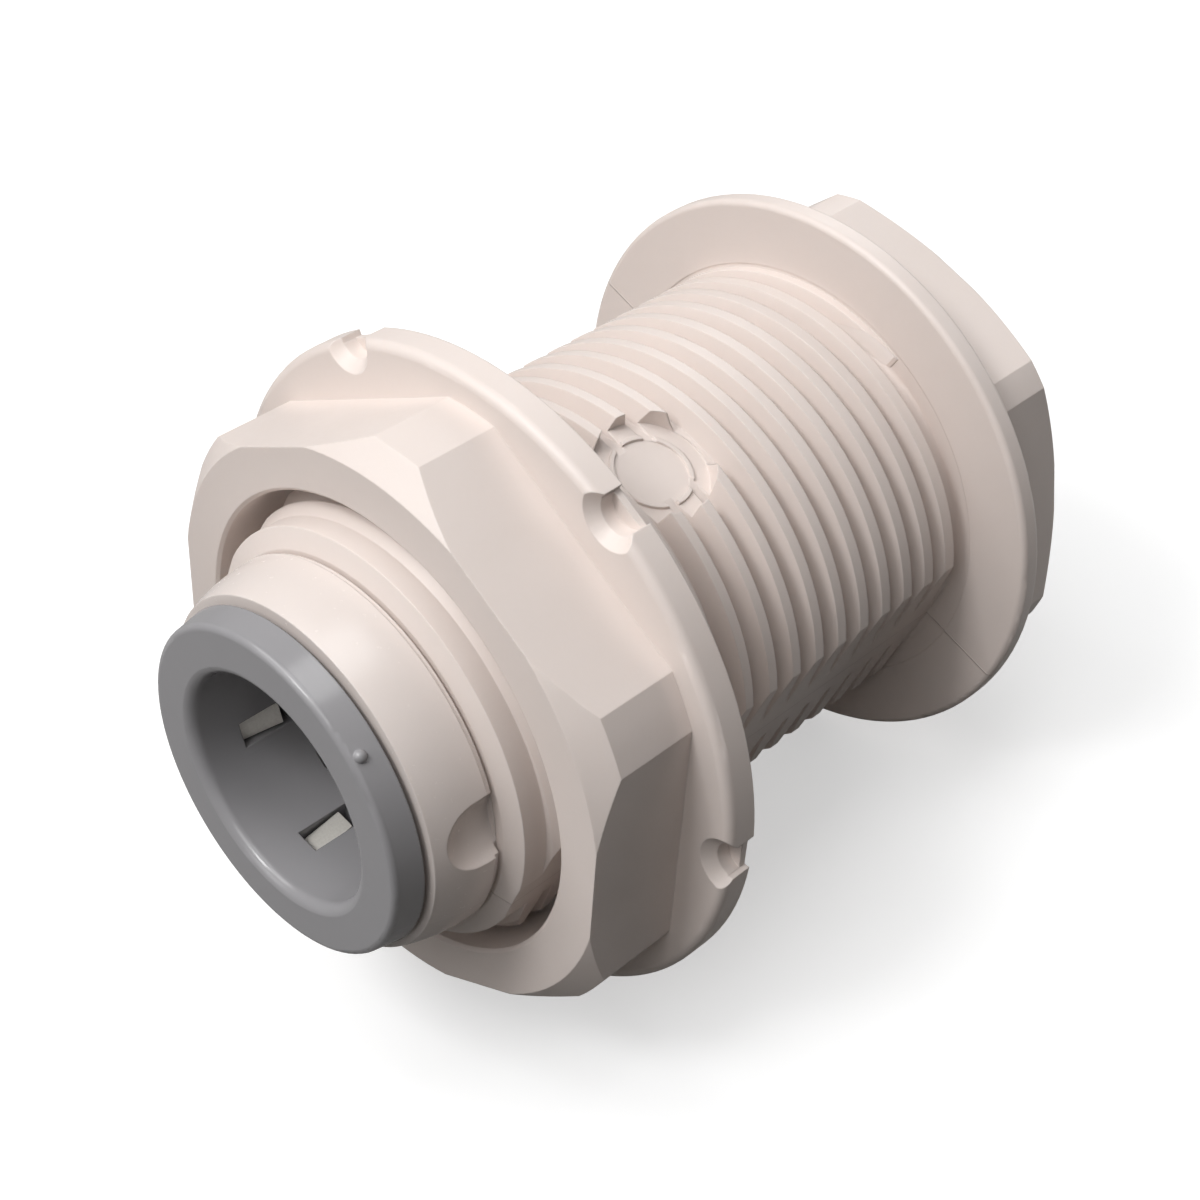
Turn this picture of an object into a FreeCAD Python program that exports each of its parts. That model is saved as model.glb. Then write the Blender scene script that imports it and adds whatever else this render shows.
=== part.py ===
import FreeCAD, Part
import math
import os

# Push-fit tank connector for 12.7 mm tube, in millimetres.
# The bore lies along Z. Z is 0 at the flange's sealing face, and +Z runs up the barrel to the near end.
# +X lies in the mould's parting plane, so the thread's two flats face +X and -X.

# Tube
TUBE_DIAMETER = 12.7
COLLET_BORE_CLEARANCE = 0.07
SOCKET_CLEARANCE = 0.15
TUBE_STOP_WIDTH = 2.46
TUBE_STOP_STEP = 1.55

# Thread on the barrel
THREAD_PITCH = 25.4 / 14
THREAD_DEPTH = 1.15
THREAD_CREST_WIDTH = 0.76
THREAD_ROOT_WIDTH = 1.5
THREAD_START_DEG = 81.0
THREAD_START_HEIGHT = -0.05
THREAD_START_TAPER = 5.3
THREAD_FLAT_SINK = 0.1
THREAD_EMBED = 0.3
THREAD_LEAD_IN = 1.3
THREAD_FRONT_GAP = 1.6

# Body
BARREL_LENGTH = 32.9
BARREL_WALL = 1.58
BARREL_NOSE_CHAMFER = 0.4
FLANGE_WIDTH = 3.9
FLANGE_THICKNESS = 1.34
FLANGE_EDGE_RADIUS = 0.35
NECK_FILLET = 0.45
NECK_RELIEF_DEPTH = 0.03
SEAT_CLEARANCE = 0.2
HEAD_WALL = 2.88
HEAD_HEIGHT = 5.84
HEAD_CORNER_STEP = 1.61
HEAD_CHAMFER_STEP = 0.08
HEAD_CHAMFER_SLOPE = 0.66
HEAD_EMBED = 0.2
HEAD_TURN_DEG = 31.6

# Round recess in the side of the thread
RECESS_HEIGHT = 16.75
RECESS_RADIUS = 3.15
RECESS_DEPTH = 0.12
RECESS_RIM_WIDTH = 0.25
RECESS_RIM_INSET = 0.9
RECESS_RIM_HEIGHT = 0.15

# Backnut
NUT_WALL = 2.35
NUT_FLANGE_WIDTH = 5.45
NUT_FLANGE_THICKNESS = 1.77
NUT_FLANGE_EDGE_RADIUS = 0.5
NUT_CORNER_STEP = 1.55
NUT_HEIGHT = 7.76
NUT_CHAMFER_STEP = 0.26
NUT_EMBED = 0.2
NUT_BORE_CLEARANCE = 0.35
NUT_BORE_CHAMFER = 0.18
NUT_TURN_DEG = 19.0
NUT_FROM_NOSE = 1.18
NOTCHES = 6
NOTCH_WIDTH = 2.2
NOTCH_DEPTH = 1.2
NOTCH_SCOOP = 0.6
NOTCH_BACK_WALL = 0.4
NOTCH_BACK_DEPTH = 0.35

# Collet
COLLET_FACE_WIDTH = 2.79
COLLET_FLANGE_FLARE = 0.25
COLLET_FLANGE_THICKNESS = 1.66
COLLET_EDGE_RADIUS = 0.35
COLLET_LIP_WIDTH = 0.52
COLLET_LIP_DEPTH = 0.7
COLLET_NECK_WALL = 1.45
COLLET_HEAD_RISE = 1.1
COLLET_CONE_START = 3.4
COLLET_CONE_END = 5.9
COLLET_LENGTH = 8.3
COLLET_TIP_CHAMFER = 0.3
COLLET_TRAVEL = 1.1
FINGERS = 6
FINGER_SLOT_WIDTH = 1.0
FINGER_SLOT_START = 6.35
WINDOW_ANGLE_DEG = -40.4
WINDOW_WIDTH = 1.42
WINDOW_START = 2.85
WINDOW_LENGTH = 3.23
GATE_MARK_RADIUS = 0.34
GATE_MARK_DEPTH = 0.6
GATE_MARK_ANGLE_DEG = -66.8

# Steel teeth
TOOTH_THICKNESS = 0.42
TOOTH_SIDE_CLEARANCE = 0.13
TOOTH_SEAT_CLEARANCE = 0.02
TOOTH_TIP_SETBACK = 0.1
TOOTH_REACH = 2.55
TOOTH_FALL = 0.62
TOOTH_TOP_SETBACK = 0.08

# Retaining cap
CAP_TO_COLLET_GAP = 0.3
CAP_CROWN_DROP = 0.61
CAP_LENGTH = 3.8
CAP_REAR_LIP = 0.45
CAP_REAR_LIP_STEP = 0.12
CAP_SEAM_GAP = 0.18
CAP_MOUTH_CLEARANCE = 0.2
CAP_SPIGOT_WALL = 0.73
CAP_SPIGOT_STEP = 0.51
CAP_SPIGOT_PAST_COLLET = 0.31
CAP_BORE_CLEARANCE = 0.25
CAP_NOTCH_WIDTH = 4.2
CAP_NOTCH_DEPTH = 0.98
CAP_NOTCH_FRONT_WALL = 0.3
CAP_NOTCH_ANGLE_DEG = -29.6
CAP_NOTCHES = 2

# O-ring
O_RING_SECTION_RADIUS = 1.3
O_RING_SQUEEZE = 0.1
O_RING_FIT = 0.02
O_RING_END_FLOAT = 0.15

# Fits in the body
CAP_FIT = 0.02
REAR_CAP_SINK = 3.5

# Worked out from the sizes above
COLLET_BORE = TUBE_DIAMETER / 2 + COLLET_BORE_CLEARANCE
COLLET_LIP_RADIUS = COLLET_BORE + COLLET_LIP_WIDTH
COLLET_FACE_RADIUS = COLLET_BORE + COLLET_FACE_WIDTH
COLLET_FLANGE_RADIUS = COLLET_FACE_RADIUS + COLLET_FLANGE_FLARE
COLLET_NECK_RADIUS = COLLET_BORE + COLLET_NECK_WALL
COLLET_HEAD_RADIUS = COLLET_NECK_RADIUS + COLLET_HEAD_RISE
COLLET_CONE_SLOPE = COLLET_HEAD_RISE / (COLLET_CONE_END - COLLET_CONE_START)
CAP_FACE_DEPTH = COLLET_FLANGE_THICKNESS + CAP_TO_COLLET_GAP
SEAM_DEPTH = CAP_FACE_DEPTH + CAP_LENGTH
CAP_SPIGOT_LENGTH = COLLET_LENGTH + CAP_SPIGOT_PAST_COLLET - SEAM_DEPTH
SPIGOT_END_DEPTH = SEAM_DEPTH + CAP_SPIGOT_LENGTH
CAP_MOUTH_RADIUS = COLLET_NECK_RADIUS + CAP_MOUTH_CLEARANCE
CAP_BORE_RADIUS = COLLET_HEAD_RADIUS + CAP_BORE_CLEARANCE
CAP_SPIGOT_RADIUS = CAP_BORE_RADIUS + CAP_SPIGOT_WALL
CAP_RADIUS = CAP_SPIGOT_RADIUS + CAP_SPIGOT_STEP
CAP_FACE_RADIUS = CAP_RADIUS - CAP_CROWN_DROP
CAP_CONE_START = COLLET_CONE_START - COLLET_TRAVEL
CAP_CONE_END = CAP_CONE_START + (CAP_BORE_RADIUS - CAP_MOUTH_RADIUS) / COLLET_CONE_SLOPE
O_RING_RADIUS = TUBE_DIAMETER / 2 - O_RING_SQUEEZE + O_RING_SECTION_RADIUS
O_RING_BORE_RADIUS = O_RING_RADIUS + O_RING_SECTION_RADIUS + O_RING_FIT
O_RING_DEPTH = SPIGOT_END_DEPTH + O_RING_END_FLOAT + O_RING_SECTION_RADIUS
SOCKET_START_DEPTH = O_RING_DEPTH + O_RING_SECTION_RADIUS + O_RING_FIT
SOCKET_RADIUS = TUBE_DIAMETER / 2 + SOCKET_CLEARANCE
WATERWAY_RADIUS = TUBE_DIAMETER / 2 - TUBE_STOP_STEP
THREAD_ROOT_RADIUS = CAP_SPIGOT_RADIUS + CAP_FIT + BARREL_WALL
THREAD_RADIUS = THREAD_ROOT_RADIUS + THREAD_DEPTH
THREAD_FLAT = THREAD_ROOT_RADIUS - THREAD_FLAT_SINK
SEAT_RADIUS = THREAD_RADIUS + SEAT_CLEARANCE
FLANGE_RADIUS = THREAD_RADIUS + FLANGE_WIDTH
HEAD_SINK_RADIUS = CAP_RADIUS + CAP_FIT
HEAD_ACROSS_FLATS = 2 * (HEAD_SINK_RADIUS + HEAD_WALL)
HEAD_CORNER_RADIUS = HEAD_ACROSS_FLATS / 2 + HEAD_CORNER_STEP
HEAD_CHAMFER_RADIUS = HEAD_ACROSS_FLATS / 2 + HEAD_CHAMFER_STEP
BODY_REAR = -(FLANGE_THICKNESS + HEAD_HEIGHT)
FRONT_FACE_Z = BARREL_LENGTH + SEAM_DEPTH
REAR_FACE_Z = BODY_REAR + REAR_CAP_SINK - SEAM_DEPTH
TUBE_INSERTION = (FRONT_FACE_Z - REAR_FACE_Z - TUBE_STOP_WIDTH) / 2
NUT_FRONT_Z = BARREL_LENGTH - NUT_FROM_NOSE
NUT_BACK_Z = NUT_FRONT_Z - NUT_HEIGHT
NUT_BORE_RADIUS = THREAD_RADIUS + NUT_BORE_CLEARANCE
NUT_ACROSS_FLATS = 2 * (NUT_BORE_RADIUS + NUT_WALL)
NUT_CORNER_RADIUS = NUT_ACROSS_FLATS / 2 + NUT_CORNER_STEP
NUT_CHAMFER_RADIUS = NUT_ACROSS_FLATS / 2 + NUT_CHAMFER_STEP
NUT_FLANGE_RADIUS = NUT_BORE_RADIUS + NUT_FLANGE_WIDTH

Z_AXIS = FreeCAD.Vector(0, 0, 1)
X_AXIS = FreeCAD.Vector(1, 0, 0)
ORIGIN = FreeCAD.Vector(0, 0, 0)
WELL_PAST = 5.0
ARC_SHARE = 1 - math.sqrt(0.5)


def in_section(point):
    """A point of a turned outline, from its radius and height."""
    return FreeCAD.Vector(point[0], 0, point[1])


def turned(start, *steps):
    """A solid of revolution about Z. A step is a (radius, height) point, or the middle and end of an arc."""
    edges = []
    here = start
    for step in steps + (start,):
        if isinstance(step[0], tuple):
            middle, end = step
            edges.append(Part.Arc(in_section(here), in_section(middle), in_section(end)).toShape())
            here = end
        elif step != here:
            edges.append(Part.LineSegment(in_section(here), in_section(step)).toShape())
            here = step
    face = Part.Face(Part.Wire(edges))
    return face.revolve(ORIGIN, Z_AXIS, 360)


def cylinder(radius, low, high):
    return Part.makeCylinder(radius, high - low, FreeCAD.Vector(0, 0, low))


def hexagon(across_flats, low, high, turn_deg):
    """A hexagonal prism with the middle of one flat at the angle turn_deg."""
    corner = across_flats / 2 / math.cos(math.pi / 6)
    corners = []
    for index in range(7):
        angle = math.radians(turn_deg + 30 + 60 * index)
        corners.append(FreeCAD.Vector(corner * math.cos(angle), corner * math.sin(angle), low))
    face = Part.Face(Part.makePolygon(corners))
    return face.extrude(FreeCAD.Vector(0, 0, high - low))


def block(x_range, y_range, z_range):
    size = [high - low for low, high in (x_range, y_range, z_range)]
    return Part.makeBox(*size, FreeCAD.Vector(x_range[0], y_range[0], z_range[0]))


def turned_by(shape, angle_deg):
    copy = shape.copy()
    copy.rotate(ORIGIN, Z_AXIS, angle_deg)
    return copy


def around(shape, count, first_deg):
    """Copies of a shape spaced evenly about the bore."""
    return [turned_by(shape, first_deg + 360 / count * index) for index in range(count)]


def at_front(shape):
    """Places a piece drawn with Z as the depth from the collet's face in the near tube socket."""
    copy = shape.copy()
    copy.rotate(ORIGIN, X_AXIS, 180)
    copy.translate(FreeCAD.Vector(0, 0, FRONT_FACE_Z))
    return copy


def at_rear(shape):
    """Places a piece drawn with Z as the depth from the collet's face in the far tube socket."""
    copy = shape.copy()
    copy.translate(FreeCAD.Vector(0, 0, REAR_FACE_Z))
    return copy


# Thread: one helical ridge that starts at the flange and fades towards the near end
def thread_ridge():
    low = -THREAD_PITCH / 2
    high = BARREL_LENGTH - THREAD_FRONT_GAP
    spread = (THREAD_ROOT_WIDTH - THREAD_CREST_WIDTH) / 2 / THREAD_DEPTH * THREAD_EMBED
    half_inner = THREAD_ROOT_WIDTH / 2 + spread
    half_outer = THREAD_CREST_WIDTH / 2 - spread
    inner = THREAD_ROOT_RADIUS - THREAD_EMBED
    outer = THREAD_RADIUS + THREAD_EMBED
    corners = [(inner, -half_inner), (outer, -half_outer), (outer, half_outer), (inner, half_inner)]
    profile = Part.makePolygon([in_section(corner) for corner in corners + corners[:1]])
    turns = math.ceil((high - THREAD_START_HEIGHT) / THREAD_PITCH) + 1
    helix = Part.makeLongHelix(THREAD_PITCH, turns * THREAD_PITCH, THREAD_ROOT_RADIUS)
    ridge = Part.Wire(helix.Edges).makePipeShell([profile], True, True)
    ridge.rotate(ORIGIN, Z_AXIS, THREAD_START_DEG)
    ridge.translate(FreeCAD.Vector(0, 0, THREAD_START_HEIGHT))
    envelope = turned(
        (inner, low),
        (THREAD_RADIUS, low),
        (THREAD_RADIUS, high - THREAD_LEAD_IN),
        (THREAD_ROOT_RADIUS, high),
        (inner, high),
    )
    return envelope.common(ridge).cut(start_taper())


def start_taper():
    """What is cut from the ridge's first millimetres, so that it comes out of the flange as a wedge."""
    top = THREAD_PITCH / 2
    inner = THREAD_ROOT_RADIUS - THREAD_EMBED
    before = THREAD_EMBED * top / THREAD_START_TAPER
    start = (-THREAD_EMBED, -before)
    corners = [start, (THREAD_START_TAPER, top), (-THREAD_EMBED, top), start]
    face = Part.Face(Part.makePolygon([FreeCAD.Vector(inner, y, z) for y, z in corners]))
    wedge = face.extrude(FreeCAD.Vector(THREAD_DEPTH + WELL_PAST, 0, 0))
    return turned_by(wedge, THREAD_START_DEG)


def thread_flats():
    """What is cut away beside the mould's parting line to leave the two flats along the barrel."""
    reach = THREAD_RADIUS + WELL_PAST
    sides = []
    for side in (1, -1):
        x_range = sorted((side * THREAD_FLAT, side * reach))
        sides.append(block(x_range, (-reach, reach), (0, BARREL_LENGTH)))
    return sides


# Body: barrel, flange and hexagon head in one moulding
def barrel():
    edge = FLANGE_EDGE_RADIUS * ARC_SHARE
    fillet = NECK_FILLET * ARC_SHARE
    relief = -NECK_RELIEF_DEPTH
    back = -FLANGE_THICKNESS
    return turned(
        (0, back),
        (FLANGE_RADIUS - FLANGE_EDGE_RADIUS, back),
        ((FLANGE_RADIUS - edge, back + edge), (FLANGE_RADIUS, back + FLANGE_EDGE_RADIUS)),
        (FLANGE_RADIUS, -FLANGE_EDGE_RADIUS),
        ((FLANGE_RADIUS - edge, -edge), (FLANGE_RADIUS - FLANGE_EDGE_RADIUS, 0)),
        (SEAT_RADIUS, 0),
        (SEAT_RADIUS, relief),
        (THREAD_ROOT_RADIUS + NECK_FILLET, relief),
        ((THREAD_ROOT_RADIUS + fillet, relief + fillet), (THREAD_ROOT_RADIUS, relief + NECK_FILLET)),
        (THREAD_ROOT_RADIUS, BARREL_LENGTH - BARREL_NOSE_CHAMFER),
        (CAP_RADIUS, BARREL_LENGTH),
        (0, BARREL_LENGTH),
    )


def head():
    chamfer_rise = (HEAD_CORNER_RADIUS - HEAD_CHAMFER_RADIUS) * HEAD_CHAMFER_SLOPE
    envelope = turned(
        (0, BODY_REAR),
        (HEAD_CHAMFER_RADIUS, BODY_REAR),
        (HEAD_CORNER_RADIUS, BODY_REAR + chamfer_rise),
        (HEAD_CORNER_RADIUS, 0),
        (0, 0),
    )
    prism = hexagon(HEAD_ACROSS_FLATS, BODY_REAR, -FLANGE_THICKNESS + HEAD_EMBED, HEAD_TURN_DEG)
    return prism.common(envelope)


def socket(face_depth):
    """The stepped hole for one tube end: cap, O-ring, tube. face_depth is where the body's end lies."""
    cap_hole = CAP_SPIGOT_RADIUS + CAP_FIT
    return turned(
        (0, face_depth),
        (cap_hole, face_depth),
        (cap_hole, SPIGOT_END_DEPTH + CAP_FIT),
        (O_RING_BORE_RADIUS, SPIGOT_END_DEPTH + CAP_FIT),
        (O_RING_BORE_RADIUS, SOCKET_START_DEPTH),
        (SOCKET_RADIUS, SOCKET_START_DEPTH),
        (SOCKET_RADIUS, TUBE_INSERTION),
        (0, TUBE_INSERTION),
    )


def recess():
    """The shallow round recess that cuts the ridges, with a raised rim on its floor, drawn along +Y."""
    outward = FreeCAD.Vector(0, 1, 0)
    reach = THREAD_RADIUS + WELL_PAST
    floor_level = THREAD_ROOT_RADIUS - RECESS_DEPTH
    floor_centre = FreeCAD.Vector(0, floor_level, RECESS_HEIGHT)
    pocket = Part.makeCylinder(RECESS_RADIUS, reach - floor_level, floor_centre, outward)
    rim_radius = RECESS_RADIUS - RECESS_RIM_INSET
    rim = Part.makeCylinder(rim_radius, RECESS_RIM_HEIGHT, floor_centre, outward)
    rim = rim.cut(Part.makeCylinder(rim_radius - RECESS_RIM_WIDTH, RECESS_RIM_HEIGHT, floor_centre, outward))
    return pocket.cut(rim)


def body():
    solid = barrel().fuse(head())
    solid = solid.fuse(thread_ridge())
    for side in thread_flats():
        solid = solid.cut(side)
    solid = solid.cut(recess())
    solid = solid.cut(at_front(socket(SEAM_DEPTH)))
    solid = solid.cut(at_rear(socket(SEAM_DEPTH)))
    solid = solid.cut(cylinder(HEAD_SINK_RADIUS, BODY_REAR, BODY_REAR + REAR_CAP_SINK))
    return solid.cut(cylinder(WATERWAY_RADIUS, REAR_FACE_Z, FRONT_FACE_Z))


# Backnut: flange with six notches and a chamfered hexagon, in one moulding
def backnut():
    edge = NUT_FLANGE_EDGE_RADIUS
    flange_top = NUT_BACK_Z + NUT_FLANGE_THICKNESS
    edge_middle = (NUT_FLANGE_RADIUS - edge * ARC_SHARE, flange_top - edge * ARC_SHARE)
    flange = turned(
        (0, NUT_BACK_Z),
        (NUT_FLANGE_RADIUS, NUT_BACK_Z),
        (NUT_FLANGE_RADIUS, flange_top - edge),
        (edge_middle, (NUT_FLANGE_RADIUS - edge, flange_top)),
        (0, flange_top),
    )
    rise = NUT_CORNER_RADIUS + WELL_PAST - NUT_CHAMFER_RADIUS
    envelope = turned(
        (0, NUT_BACK_Z),
        (NUT_CHAMFER_RADIUS + rise, NUT_BACK_Z),
        (NUT_CHAMFER_RADIUS + rise, NUT_FRONT_Z - rise),
        (NUT_CHAMFER_RADIUS, NUT_FRONT_Z),
        (0, NUT_FRONT_Z),
    )
    prism = hexagon(NUT_ACROSS_FLATS, flange_top - NUT_EMBED, NUT_FRONT_Z, NUT_TURN_DEG)
    solid = prism.common(envelope).common(cylinder(NUT_CORNER_RADIUS, NUT_BACK_Z, NUT_FRONT_Z))
    solid = solid.fuse(flange)
    for notch in around(rim_notch(flange_top), NOTCHES, NUT_TURN_DEG):
        solid = solid.cut(notch)
    bore = turned(
        (0, NUT_BACK_Z),
        (NUT_BORE_RADIUS + NUT_BORE_CHAMFER, NUT_BACK_Z),
        (NUT_BORE_RADIUS, NUT_BACK_Z + NUT_BORE_CHAMFER),
        (NUT_BORE_RADIUS, NUT_FRONT_Z - NUT_BORE_CHAMFER),
        (NUT_BORE_RADIUS + NUT_BORE_CHAMFER, NUT_FRONT_Z),
        (0, NUT_FRONT_Z),
    )
    return solid.cut(bore)


def rim_notch(flange_top):
    """One notch in the nut flange's rim, on +X, scooped at the front and with a low wall at the back."""
    half = NOTCH_WIDTH / 2
    centre = NUT_FLANGE_RADIUS - NOTCH_DEPTH + half
    back = NUT_BACK_Z + NOTCH_BACK_WALL
    below = NUT_BACK_Z - WELL_PAST
    slot = Part.makeCylinder(half, NUT_HEIGHT, FreeCAD.Vector(centre, 0, back))
    outer = block((centre, NUT_FLANGE_RADIUS + WELL_PAST), (-half, half), (back, NUT_FRONT_Z))
    bottom = NUT_FLANGE_RADIUS - NOTCH_BACK_DEPTH
    dip = block((bottom, NUT_FLANGE_RADIUS + WELL_PAST), (-half, half), (below, NUT_FRONT_Z))
    scoop_base = FreeCAD.Vector(centre, 0, flange_top - NOTCH_SCOOP)
    scoop = Part.makeCone(half, half + 2 * NOTCH_SCOOP, 2 * NOTCH_SCOOP, scoop_base)
    notch = slot.fuse(outer).fuse(dip).fuse(scoop)
    return notch.common(cylinder(NUT_FLANGE_RADIUS + WELL_PAST, below, flange_top))


# Retaining cap, drawn with Z as the depth from the collet's face
def end_cap():
    step_start = SEAM_DEPTH - CAP_REAR_LIP
    length = step_start - CAP_FACE_DEPTH
    crown_radius = (length * length + CAP_CROWN_DROP * CAP_CROWN_DROP) / (2 * CAP_CROWN_DROP)
    crown_drop = crown_radius - math.sqrt(crown_radius * crown_radius - length * length / 4)
    crown = (CAP_RADIUS - crown_drop, step_start - length / 2)
    solid = turned(
        (CAP_MOUTH_RADIUS, CAP_FACE_DEPTH),
        (CAP_FACE_RADIUS, CAP_FACE_DEPTH),
        (crown, (CAP_RADIUS, step_start)),
        (CAP_RADIUS - CAP_REAR_LIP_STEP, step_start),
        (CAP_RADIUS - CAP_REAR_LIP_STEP, SEAM_DEPTH - CAP_SEAM_GAP),
        (CAP_SPIGOT_RADIUS, SEAM_DEPTH - CAP_SEAM_GAP),
        (CAP_SPIGOT_RADIUS, SPIGOT_END_DEPTH),
        (CAP_BORE_RADIUS, SPIGOT_END_DEPTH),
        (CAP_BORE_RADIUS, CAP_CONE_END),
        (CAP_MOUTH_RADIUS, CAP_CONE_START),
    )
    for notch in around(cap_notch(), CAP_NOTCHES, CAP_NOTCH_ANGLE_DEG):
        solid = solid.cut(notch)
    return solid


def cap_notch():
    """A scooped notch along the cap's outside, open at the seam and round at its front end, on +X."""
    half = CAP_NOTCH_WIDTH / 2
    radius = (half * half + CAP_NOTCH_DEPTH * CAP_NOTCH_DEPTH) / (2 * CAP_NOTCH_DEPTH)
    centre = CAP_RADIUS - CAP_NOTCH_DEPTH + radius
    front = CAP_FACE_DEPTH + CAP_NOTCH_FRONT_WALL + half
    middle = FreeCAD.Vector(centre, 0, front)
    scoop = Part.makeCylinder(radius, SEAM_DEPTH - front, middle)
    end_space = block((0, CAP_RADIUS + radius), (-half, half), (front - half, front))
    return scoop.fuse(Part.makeSphere(radius, middle).common(end_space))


# Collet with six fingers, drawn with Z as the depth from its face
def collet():
    edge = COLLET_EDGE_RADIUS
    lip_middle = (COLLET_BORE + COLLET_LIP_WIDTH * ARC_SHARE, COLLET_LIP_DEPTH * ARC_SHARE)
    solid = turned(
        (COLLET_LIP_RADIUS, 0),
        (COLLET_FACE_RADIUS - edge, 0),
        ((COLLET_FACE_RADIUS - edge * ARC_SHARE, edge * ARC_SHARE), (COLLET_FACE_RADIUS, edge)),
        (COLLET_FLANGE_RADIUS, COLLET_FLANGE_THICKNESS),
        (COLLET_NECK_RADIUS, COLLET_FLANGE_THICKNESS),
        (COLLET_NECK_RADIUS, COLLET_CONE_START),
        (COLLET_HEAD_RADIUS, COLLET_CONE_END),
        (COLLET_HEAD_RADIUS, COLLET_LENGTH - COLLET_TIP_CHAMFER),
        (COLLET_HEAD_RADIUS - COLLET_TIP_CHAMFER, COLLET_LENGTH),
        (COLLET_BORE, COLLET_LENGTH),
        (COLLET_BORE, COLLET_LIP_DEPTH),
        (lip_middle, (COLLET_LIP_RADIUS, 0)),
    )
    outside = COLLET_HEAD_RADIUS + WELL_PAST
    half_slot = FINGER_SLOT_WIDTH / 2
    half_window = WINDOW_WIDTH / 2
    slot = block((0, outside), (-half_slot, half_slot), (FINGER_SLOT_START, COLLET_LENGTH + WELL_PAST))
    window = block((0, outside), (-half_window, half_window), (WINDOW_START, WINDOW_START + WINDOW_LENGTH))
    for cut in around(slot, FINGERS, WINDOW_ANGLE_DEG + 180 / FINGERS):
        solid = solid.cut(cut)
    for cut in around(window, FINGERS, WINDOW_ANGLE_DEG):
        solid = solid.cut(cut)
    mark = Part.makeSphere(GATE_MARK_RADIUS, FreeCAD.Vector(COLLET_FACE_RADIUS, 0, GATE_MARK_DEPTH))
    return solid.fuse(turned_by(mark, GATE_MARK_ANGLE_DEG))


# Steel tooth, drawn on +X with Z as the depth: a leg at the window's end and a blade that leans to the tube
def tooth():
    start = WINDOW_START + TOOTH_SEAT_CLEARANCE
    tip = COLLET_BORE + TOOTH_TIP_SETBACK
    bend = tip + TOOTH_FALL
    top = COLLET_NECK_RADIUS - TOOTH_TOP_SETBACK
    half = WINDOW_WIDTH / 2 - TOOTH_SIDE_CLEARANCE
    outline = [
        (bend, start),
        (tip, start + TOOTH_REACH),
        (tip + TOOTH_THICKNESS, start + TOOTH_REACH + TOOTH_THICKNESS / 2),
        (bend + TOOTH_THICKNESS, start + TOOTH_THICKNESS),
        (top, start + TOOTH_THICKNESS),
        (top, start),
        (bend, start),
    ]
    face = Part.Face(Part.makePolygon([FreeCAD.Vector(x, -half, z) for x, z in outline]))
    return face.extrude(FreeCAD.Vector(0, 2 * half, 0))


def o_ring():
    return Part.makeTorus(O_RING_RADIUS, O_RING_SECTION_RADIUS, FreeCAD.Vector(0, 0, O_RING_DEPTH), Z_AXIS)


def save(name, shape):
    shape.exportStep(f"parts/{name}.step")


os.makedirs("parts", exist_ok=True)
save("body", body())
save("backnut", backnut())
for end, place in (("front", at_front), ("rear", at_rear)):
    save(f"end_cap_{end}", place(end_cap()))
    save(f"collet_{end}", place(collet()))
    save(f"o_ring_{end}", place(o_ring()))
    for number, piece in enumerate(around(tooth(), FINGERS, WINDOW_ANGLE_DEG), 1):
        save(f"tooth_{end}_{number}", place(piece))
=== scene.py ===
import math

import bpy
from mathutils import Matrix, Vector

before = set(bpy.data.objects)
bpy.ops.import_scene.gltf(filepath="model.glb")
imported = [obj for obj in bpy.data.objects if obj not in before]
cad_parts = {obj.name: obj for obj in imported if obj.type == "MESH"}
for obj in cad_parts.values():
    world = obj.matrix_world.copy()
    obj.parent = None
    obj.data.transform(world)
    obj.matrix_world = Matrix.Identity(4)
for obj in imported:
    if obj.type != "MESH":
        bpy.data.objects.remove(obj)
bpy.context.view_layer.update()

MM = 0.001
WHITE = (1, 1, 1, 1)

# Camera, from the rings of the fitting as they lie in the picture
CAMERA_PLACE = (0.0327, 0.0961, 0.0843)
CAMERA_RIGHT = (0.6502, 0.2814, -0.7057)
CAMERA_UP = (-0.7124, 0.5486, -0.4376)
CAMERA_BACK = (0.2640, 0.7873, 0.5572)
CAMERA_LENS = 67.42
CAMERA_SENSOR = 36
CAMERA_NEAREST = 1 * MM

# Plastic: how wide its clouds, grain and waves are, how much each does, and how far light enters it
CLOUD_CELL = 7 * MM
CLOUD_SHARE = 0.7
GRAIN_CELL = 0.35 * MM
GRAIN_SHARE = 0.3
GRAIN_IN_GLOSS = 0.3
WAVE_CELL = 2.2 * MM
WAVE_DEPTH = 0.02 * MM
PLASTIC_IOR = 1.48
SEE_IN_DEPTH = 0.5 * MM
SEE_IN_COLOURS = (1.0, 0.85, 0.7)

# Flash along the parting line: how far from the line it is whole and where it ends, its height and its tint
FLASH_WHOLE = 0.02 * MM
FLASH_END = 0.06 * MM
FLASH_HEIGHT = 0.03 * MM
FLASH_SHARE = 0.35

# Steep cut where the first thread starts: the box it lies in, the way it faces, and how far its normal leans
START_X = (-3.2 * MM, 2.6 * MM)
START_Y_FROM = 11.2 * MM
START_Z = (0.04 * MM, 1.05 * MM)
START_FACES_Y_BELOW = 0.15
START_FACES_Z_ABOVE = 0.9
START_LEAN = (-0.35, 0.6, -0.1)

# Table that the fitting lies on: its distance from the bore's axis at z = 0, and its rise along the axis
TABLE_TURN_DEG = 113.4
TABLE_DISTANCE = 16.85 * MM
TABLE_RISE = 0.0708
TABLE_HALF = 0.5
TABLE_CELLS = 8
TABLE_FADES = (0.16, 0.42)
TABLE_DARK = (0.08, 0.075, 0.07, 1)
TABLE_PALE = (0.6, 0.6, 0.6, 1)
TABLE_GLOSS_SHARE = 0.4
TABLE_LIFT = 0.5

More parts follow.
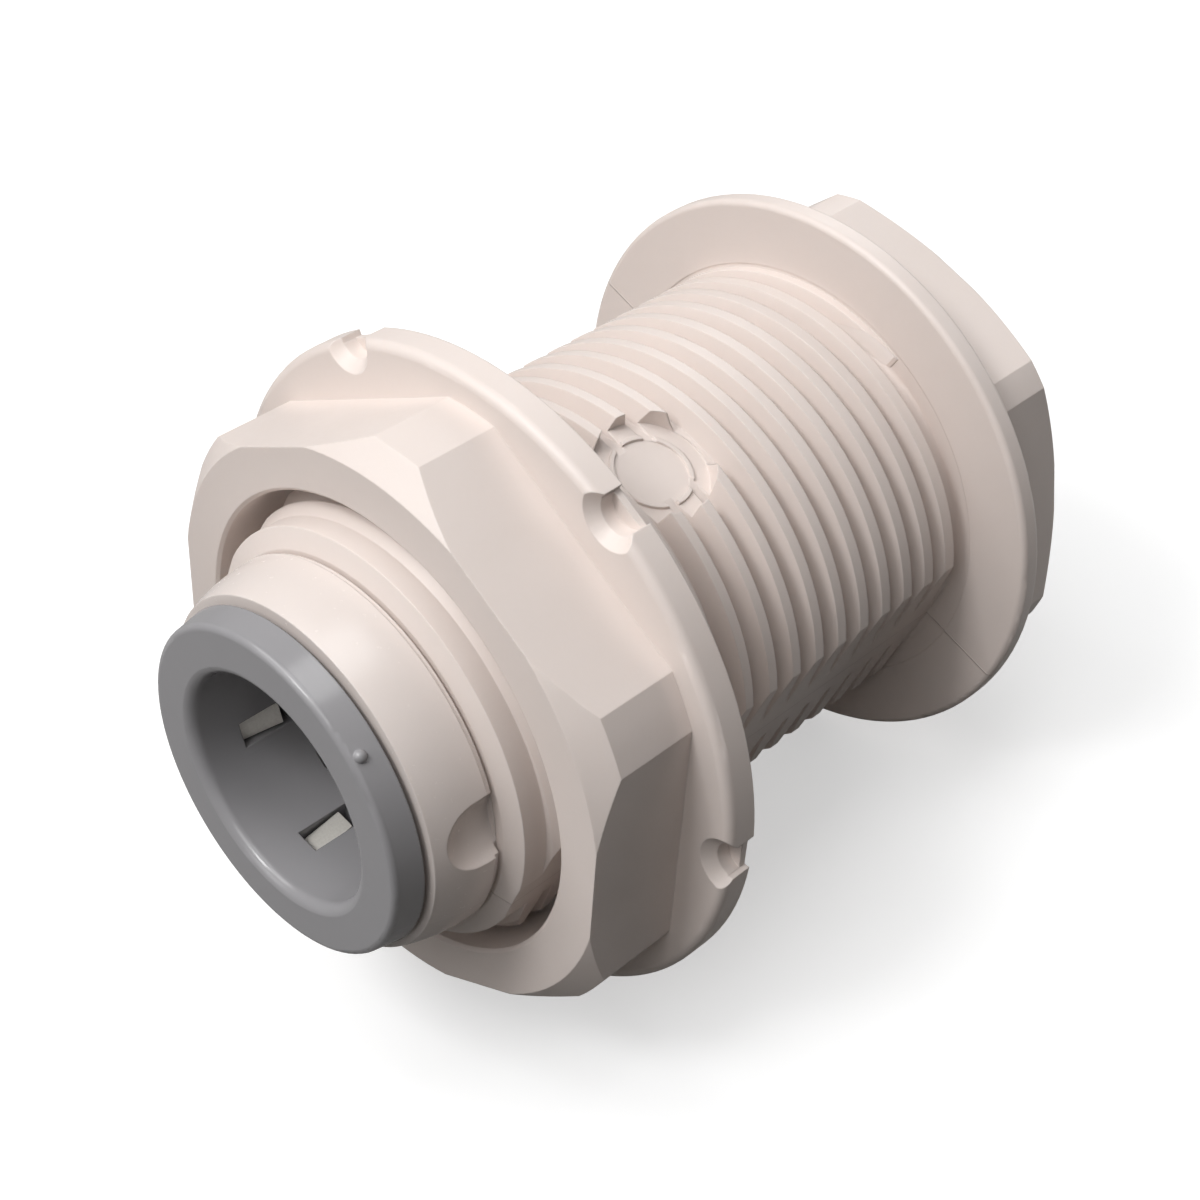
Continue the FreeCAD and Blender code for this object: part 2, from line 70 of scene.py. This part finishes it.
# Lamps: each one's direction, its width, and the share of its own colour at which it shows a surface
LAMP_AIM = (0, 0, 0.016)
LAMP_DISTANCE = 0.4
LAMPS = (
    ("key_lamp", (-0.40, 0.68, 0.62), 0.1, 0.36),
    ("near_lamp", (-0.10, 0.80, 0.60), 0.2, 0.24),
    ("left_lamp", (-0.72, 0.56, 0.40), 0.2, 0.31),
    ("top_lamp", (-0.40, 0.92, 0.07), 0.2, 0.3),
    ("far_lamp", (-0.51, 0.31, -0.81), 0.2, 0.24),
    ("far_top_lamp", (0.13, 0.58, -0.80), 0.2, 0.12),
    ("end_lamp", (-0.47, 0.19, 0.86), 0.2, 0.17),
    ("right_lamp", (0.45, 0.74, 0.50), 0.2, 0.04),
    ("under_lamp", (-0.26, -0.79, -0.56), 0.3, 0.42),
    ("rear_lamp", (0.20, -0.40, -0.89), 0.3, 0.2),
)

# World: the light it gives, the share of white that gloss shows of it, and what the camera sees
WORLD_LEVEL = 0.03
WORLD_GLOSS_SHARE = 0.2
WORLD_SEEN_LEVEL = 1.0


class Field:
    """A number or a colour that varies over a surface. Arithmetic on it adds Math nodes."""

    def __init__(self, finish, socket):
        self.finish = finish
        self.socket = socket

    def maths(self, operation, first, second):
        return self.finish.add("ShaderNodeMath", {"operation": operation}, {0: first, 1: second})

    def __add__(self, other):
        return self.maths("ADD", self, other)

    def __radd__(self, other):
        return self.maths("ADD", other, self)

    def __sub__(self, other):
        return self.maths("SUBTRACT", self, other)

    def __mul__(self, other):
        return self.maths("MULTIPLY", self, other)

    def __gt__(self, other):
        return self.maths("GREATER_THAN", self, other)

    def __lt__(self, other):
        return self.maths("LESS_THAN", self, other)

    def or_more(self, other):
        return self.maths("MAXIMUM", self, other)


class Finish:
    """One procedural material, made of nodes."""

    def __init__(self, name):
        self.material = bpy.data.materials.new(name)
        self.material.use_nodes = True
        self.tree = self.material.node_tree
        self.tree.nodes.clear()
        self.place = self.add("ShaderNodeTexCoord", output="Object")

    def add(self, kind, settings=None, sockets=None, output=0):
        node = self.tree.nodes.new(kind)
        for name, value in (settings or {}).items():
            setattr(node, name, value)
        for name, value in (sockets or {}).items():
            self.feed(node.inputs[name], value)
        return Field(self, node.outputs[output])

    def feed(self, socket, value):
        if isinstance(value, Field):
            self.tree.links.new(value.socket, socket)
        else:
            socket.default_value = value

    def noise(self, cell, detail=2.0, rough=0.5):
        """Noise from 0 to 1 whose patches are about cell metres wide."""
        sockets = {"Vector": self.place, "Scale": 1 / cell, "Detail": detail, "Roughness": rough}
        return self.add("ShaderNodeTexNoise", sockets=sockets)

    def blend(self, share, first, second):
        """A colour between two colours."""
        settings = {"data_type": "RGBA"}
        return self.add("ShaderNodeMix", settings, {0: share, 6: first, 7: second}, output=2)

    def along(self, axis, vector=None):
        """One coordinate of a place on the piece, or of another vector."""
        return self.add("ShaderNodeSeparateXYZ", sockets={"Vector": vector or self.place}, output=axis)

    def soften(self, radius, samples):
        """The normal with its edges rounded by a radius."""
        return self.add("ShaderNodeBevel", {"samples": samples}, {"Radius": radius})

    def relief(self, height, depth, under=None):
        sockets = {"Height": height, "Distance": depth}
        if under:
            sockets["Normal"] = under
        return self.add("ShaderNodeBump", sockets=sockets)

    def plain(self, sockets):
        return self.finish_with(self.add("ShaderNodeBsdfPrincipled", sockets=sockets))

    def finish_with(self, shader):
        result = self.tree.nodes.new("ShaderNodeOutputMaterial")
        self.feed(result.inputs["Surface"], shader)
        return self.material


def srgb(red, green, blue):
    """A colour as it is written in pictures, from 0 to 255."""
    values = []
    for value in (red, green, blue):
        share = value / 255
        values.append(share / 12.92 if share <= 0.04045 else ((share + 0.055) / 1.055) ** 2.4)
    return (*values, 1)


def eased_start(finish, skin):
    """The skin's normal, leaned outwards on the steep cut where the first thread rises out of the flange."""
    upright = finish.add("ShaderNodeNewGeometry", output="True Normal")
    x, y, z = (finish.along(axis) for axis in "XYZ")
    cut = (x > START_X[0]) * (x < START_X[1]) * (y > START_Y_FROM) * (z > START_Z[0]) * (z < START_Z[1])
    cut = cut * (finish.along("Y", upright) < START_FACES_Y_BELOW)
    cut = cut * (finish.along("Z", upright) > START_FACES_Z_ABOVE)
    lean = finish.add("ShaderNodeVectorMath", {"operation": "SCALE"}, {0: START_LEAN, "Scale": cut})
    leaned = finish.add("ShaderNodeVectorMath", {"operation": "ADD"}, {0: skin, 1: lean})
    return finish.add("ShaderNodeVectorMath", {"operation": "NORMALIZE"}, {0: leaned})


def parting_line(finish):
    """1 on the thin flash that the mould halves leave along the plane Y = 0, and 0 beside it."""
    away = finish.add("ShaderNodeMath", {"operation": "ABSOLUTE"}, {0: finish.along("Y")})
    band = {"Value": away, "From Min": FLASH_WHOLE, "From Max": FLASH_END, "To Min": 1.0, "To Max": 0.0}
    return finish.add("ShaderNodeMapRange", sockets=band)


def moulded_plastic(name, tint, deep_tint, gloss, edge_radius,
                    see_in=0.0, grain_depth=0.006 * MM, flash=False):
    """Injection-moulded plastic: a faint cloudiness, a fine spark-eroded skin and softened edges."""
    finish = Finish(name)
    cloud = finish.noise(CLOUD_CELL, detail=3)
    grain = finish.noise(GRAIN_CELL, detail=3, rough=0.6)
    colour = finish.blend(cloud * CLOUD_SHARE + grain * GRAIN_SHARE, tint, deep_tint)
    soft = finish.soften(edge_radius, samples=6)
    waves = finish.relief(finish.noise(WAVE_CELL, detail=1), WAVE_DEPTH, soft)
    skin = finish.relief(grain, grain_depth, waves)
    if flash:
        line = parting_line(finish)
        colour = finish.blend(line * FLASH_SHARE, colour, srgb(150, 136, 128))
        skin = eased_start(finish, finish.relief(line, FLASH_HEIGHT, skin))
    return finish.plain({
        "Base Color": colour,
        "Roughness": gloss + (grain - 0.5) * GRAIN_IN_GLOSS * gloss,
        "Normal": skin,
        "IOR": PLASTIC_IOR,
        "Subsurface Weight": see_in,
        "Subsurface Radius": SEE_IN_COLOURS,
        "Subsurface Scale": SEE_IN_DEPTH,
    })


def plain_rubber(name):
    """Black rubber with a fine, dull grain."""
    finish = Finish(name)
    grain = finish.noise(0.25 * MM, detail=2)
    return finish.plain({
        "Base Color": finish.blend(grain, srgb(28, 28, 29), srgb(40, 39, 38)),
        "Roughness": 0.5 + grain * 0.2,
        "Normal": finish.relief(grain, 0.004 * MM),
    })


def stamped_steel(name):
    """Thin stainless strip, as it comes from the press."""
    finish = Finish(name)
    grain = finish.noise(0.12 * MM, detail=3)
    return finish.plain({
        "Base Color": finish.blend(grain, srgb(238, 235, 228), srgb(214, 210, 202)),
        "Metallic": 0.6,
        "Roughness": 0.32 + grain * 0.18,
        "Normal": finish.relief(grain, 0.004 * MM, finish.soften(0.03 * MM, samples=4)),
    })


# The first finish whose start of a name fits a node is the node's
OFF_WHITE = (srgb(226, 215, 209), srgb(221, 209, 202))
CAP_WHITE = (srgb(222, 212, 207), srgb(217, 207, 201))
GREY = (srgb(152, 150, 152), srgb(147, 146, 148))
FINISHES = (
    ("backnut", moulded_plastic("nut_moulding", *OFF_WHITE, gloss=0.42, edge_radius=0.1 * MM, see_in=0.07)),
    ("body", moulded_plastic("body_moulding", *OFF_WHITE, gloss=0.42, edge_radius=0.1 * MM, see_in=0.07,
                             flash=True)),
    ("end_cap", moulded_plastic("cap_moulding", *CAP_WHITE, gloss=0.26, edge_radius=0.12 * MM, see_in=0.07,
                                grain_depth=0.002 * MM)),
    ("collet", moulded_plastic("collet_moulding", *GREY, gloss=0.2, edge_radius=0.1 * MM,
                               grain_depth=0.001 * MM)),
    ("o_ring", plain_rubber("seal_rubber")),
    ("tooth", stamped_steel("tooth_steel")),
)


def dress(node):
    """Gives a node the finish that its name asks for."""
    finishes = [material for start, material in FINISHES if node.startswith(start)]
    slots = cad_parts[node].data.materials
    slots.clear()
    slots.append(finishes[0])


def paper_white(name):
    """A matt white for the camera and a dark matt for other rays, so that the table throws little light back.
    It is clear far out, from below and to the lamps under it."""
    finish = Finish(name)
    facing_away = finish.add("ShaderNodeNewGeometry", output="Backfacing")
    seen = finish.add("ShaderNodeLightPath", output="Is Camera Ray")
    mirrored = finish.add("ShaderNodeLightPath", output="Is Glossy Ray")
    through = finish.add("ShaderNodeLightPath", output="Is Transmission Ray")
    past = finish.add("ShaderNodeLightPath", output="Is Shadow Ray")
    shade = finish.blend(seen.or_more(through) + mirrored * TABLE_GLOSS_SHARE, TABLE_DARK, TABLE_PALE)
    paper = finish.add("ShaderNodeBsdfDiffuse", sockets={"Color": shade})
    lift = finish.add("ShaderNodeEmission", sockets={"Color": WHITE, "Strength": TABLE_LIFT})
    lifted = finish.add("ShaderNodeAddShader", sockets={0: paper, 1: lift})
    lit = finish.add("ShaderNodeMixShader", sockets={0: seen, 1: paper, 2: lifted})
    spread = finish.add("ShaderNodeVectorMath", {"operation": "LENGTH"}, {0: finish.place}, output="Value")
    fades = {"Value": spread, "From Min": TABLE_FADES[0], "From Max": TABLE_FADES[1]}
    far = finish.add("ShaderNodeMapRange", {"interpolation_type": "SMOOTHSTEP"}, fades)
    gone = finish.add("ShaderNodeBsdfTransparent")
    fade = far.or_more(facing_away).or_more(past)
    return finish.finish_with(finish.add("ShaderNodeMixShader", sockets={0: fade, 1: lit, 2: gone}))


def white_table():
    """The table that the fitting lies on, tilted a little against its bore."""
    turn = math.radians(TABLE_TURN_DEG)
    across = Vector((math.cos(turn), math.sin(turn), 0))
    normal = (across + Vector((0, 0, TABLE_RISE))).normalized()
    side = normal.cross((Vector((0, 0, 1)) - across * TABLE_RISE).normalized())
    bpy.ops.object.select_all(action="DESELECT")
    bpy.ops.mesh.primitive_grid_add(x_subdivisions=TABLE_CELLS, y_subdivisions=TABLE_CELLS,
                                    size=2 * TABLE_HALF)
    table = bpy.context.object
    table.name = "white_table"
    tilt = Matrix((side, normal.cross(side), normal)).transposed().to_4x4()
    table.data.transform(Matrix.Translation(-across * TABLE_DISTANCE) @ tilt)
    table.data.materials.append(paper_white("white_table"))


def soft_lamp(name, towards, size, level):
    """A square lamp. level is the share of its own colour at which it shows a surface that faces it."""
    direction = Vector(towards).normalized()
    data = bpy.data.lights.new(name, "AREA")
    data.size = size
    data.energy = level * math.pi * math.pi * LAMP_DISTANCE * LAMP_DISTANCE
    lamp = bpy.data.objects.new(name, data)
    bpy.context.scene.collection.objects.link(lamp)
    lamp.location = Vector(LAMP_AIM) + direction * LAMP_DISTANCE
    lamp.rotation_mode = "QUATERNION"
    lamp.rotation_quaternion = direction.to_track_quat("Z", "Y")


def pale_world():
    """A world that the camera sees as white, gloss as light grey, and that gives only a little light."""
    world = bpy.data.worlds.new("pale_room")
    bpy.context.scene.world = world
    world.use_nodes = True
    nodes = world.node_tree.nodes
    links = world.node_tree.links
    nodes.clear()
    path = nodes.new("ShaderNodeLightPath")
    both = nodes.new("ShaderNodeMath")
    both.operation = "MAXIMUM"
    links.new(path.outputs["Is Camera Ray"], both.inputs[0])
    links.new(path.outputs["Is Transmission Ray"], both.inputs[1])
    pale = nodes.new("ShaderNodeMath")
    pale.operation = "MULTIPLY_ADD"
    links.new(path.outputs["Is Glossy Ray"], pale.inputs[0])
    pale.inputs[1].default_value = WORLD_GLOSS_SHARE
    links.new(both.outputs[0], pale.inputs[2])
    mix = nodes.new("ShaderNodeMixShader")
    links.new(pale.outputs[0], mix.inputs[0])
    for index, level in ((1, WORLD_LEVEL), (2, WORLD_SEEN_LEVEL)):
        background = nodes.new("ShaderNodeBackground")
        background.inputs["Color"].default_value = WHITE
        background.inputs["Strength"].default_value = level
        links.new(background.outputs[0], mix.inputs[index])
    out = nodes.new("ShaderNodeOutputWorld")
    links.new(mix.outputs[0], out.inputs["Surface"])


def photo_camera():
    """The camera that sees the fitting as the picture shows it."""
    data = bpy.data.cameras.new("photo_camera")
    data.sensor_width = CAMERA_SENSOR
    data.lens = CAMERA_LENS
    data.clip_start = CAMERA_NEAREST
    camera = bpy.data.objects.new("photo_camera", data)
    bpy.context.scene.collection.objects.link(camera)
    turn = Matrix((CAMERA_RIGHT, CAMERA_UP, CAMERA_BACK)).transposed()
    camera.matrix_world = Matrix.Translation(Vector(CAMERA_PLACE)) @ turn.to_4x4()
    bpy.context.scene.camera = camera


for node_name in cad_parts:
    dress(node_name)
white_table()
for lamp_row in LAMPS:
    soft_lamp(*lamp_row)
pale_world()
photo_camera()
bpy.context.scene.view_settings.view_transform = "Standard"
